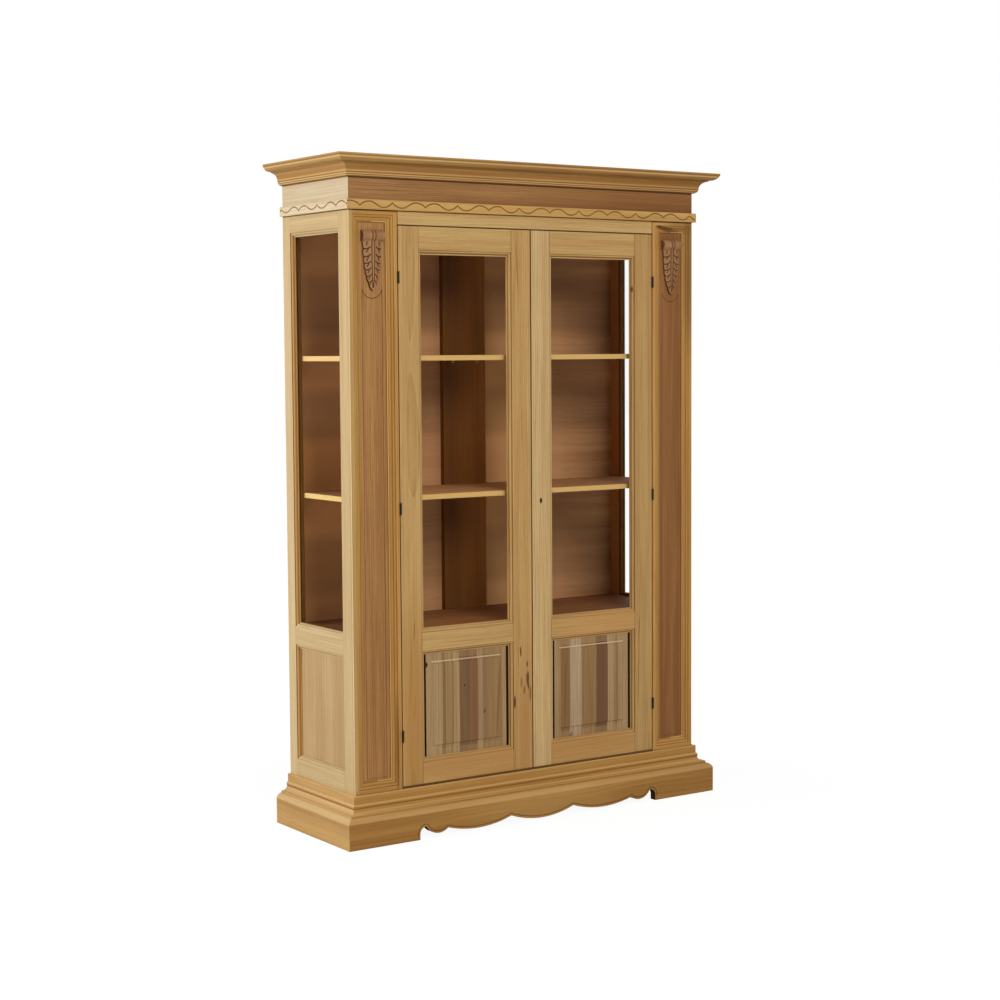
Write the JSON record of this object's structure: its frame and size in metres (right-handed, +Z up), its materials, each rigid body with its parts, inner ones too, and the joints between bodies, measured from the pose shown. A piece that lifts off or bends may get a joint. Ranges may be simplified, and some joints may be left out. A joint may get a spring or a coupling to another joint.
{
  "type": "display cabinet",
  "caption": "Two-door wooden display cabinet with glazed doors and sides, shelves, moulded pilasters with carved corbels, scalloped plinth and crown cornice.",
  "frame": {"origin": "on the floor, under the middle of the cabinet's overall box", "axes": "+Z up, +Y towards the back, -Y towards the doors, +X to the right as seen from the front"},
  "size_m": [1.4, 0.46, 2],
  "materials": {
    "wood_pale": "raw softwood, satin",
    "wood_golden": "raw softwood, satin",
    "wood_reddish": "raw softwood, satin",
    "plywood": "sanded plywood",
    "glass": "clear",
    "black_iron": "blackened, satin",
    "steel": "brushed"
  },
  "bodies": {
    "cabinet": {"plinth_front": "wood_golden", "base_moulding_front": "wood_golden", "bottom_rail": "wood_golden", "header_rail": "wood_golden", "pilaster_frames": "wood_golden", "corbels": "wood_golden", "cornice_front": "wood_golden", "wave_strip_front": "wood_golden", "shelves": "wood_golden", "display_floor": "wood_golden", "bottom_board": "wood_golden", "top_board": "wood_golden", "plinth_sides": "wood_pale", "base_moulding_sides": "wood_pale", "plinth_back": "wood_pale", "plinth_blocks": "wood_pale", "side_front_stiles": "wood_pale", "side_back_stiles": "wood_pale", "side_top_rails": "wood_pale", "side_middle_rails": "wood_pale", "side_bottom_rails": "wood_pale", "side_panels": "wood_pale", "side_beads": "wood_pale", "frieze_sides": "wood_pale", "frieze_back": "wood_pale", "wave_strip_sides": "wood_pale", "cornice_sides": "wood_pale", "dust_cover": "wood_pale", "back_muntin": "wood_pale", "pilaster_panels": "wood_reddish", "frieze_front": "wood_reddish", "back_panels": "plywood", "side_panes": "glass", "shelf_rests": "black_iron", "hinge_frame_leaves": "black_iron"},
    "left_door": {"left_door_hinge_stile": "wood_golden", "left_door_meeting_stile": "wood_golden", "left_door_top_rail": "wood_golden", "left_door_middle_rail": "wood_golden", "left_door_bottom_rail": "wood_golden", "left_door_panel": "wood_golden", "left_door_beads": "wood_golden", "left_door_pane": "glass", "left_door_hinge_leaves": "black_iron", "left_door_bolt_guides": "steel"},
    "right_door": {"right_door_hinge_stile": "wood_golden", "right_door_meeting_stile": "wood_golden", "right_door_top_rail": "wood_golden", "right_door_middle_rail": "wood_golden", "right_door_bottom_rail": "wood_golden", "right_door_panel": "wood_golden", "right_door_beads": "wood_golden", "right_door_pane": "glass", "right_door_hinge_leaves": "black_iron", "lock_case": "steel"},
    "lock_bolt": {"lock_bolt": "steel"},
    "upper_bolt": {"upper_bolt": "steel"},
    "lower_bolt": {"lower_bolt": "steel"}
  },
  "joints": [
    {"name": "left_door_hinge", "type": "hinge", "parent": "cabinet", "child": "left_door", "pos_m": [-0.47175, -0.1684, 0.978], "axis": [0, 0, -1], "range_deg": [0, 160]},
    {"name": "right_door_hinge", "type": "hinge", "parent": "cabinet", "child": "right_door", "pos_m": [0.47175, -0.1684, 0.978], "axis": [0, 0, 1], "range_deg": [0, 160]},
    {"name": "lock_bolt_slide", "type": "slide", "parent": "right_door", "child": "lock_bolt", "axis": [-1, 0, 0], "range_m": [0, 0.008]},
    {"name": "upper_bolt_slide", "type": "slide", "parent": "left_door", "child": "upper_bolt", "axis": [0, 0, 1], "range_m": [0, 0.012]},
    {"name": "lower_bolt_slide", "type": "slide", "parent": "left_door", "child": "lower_bolt", "axis": [0, 0, -1], "range_m": [0, 0.012]}
  ]
}
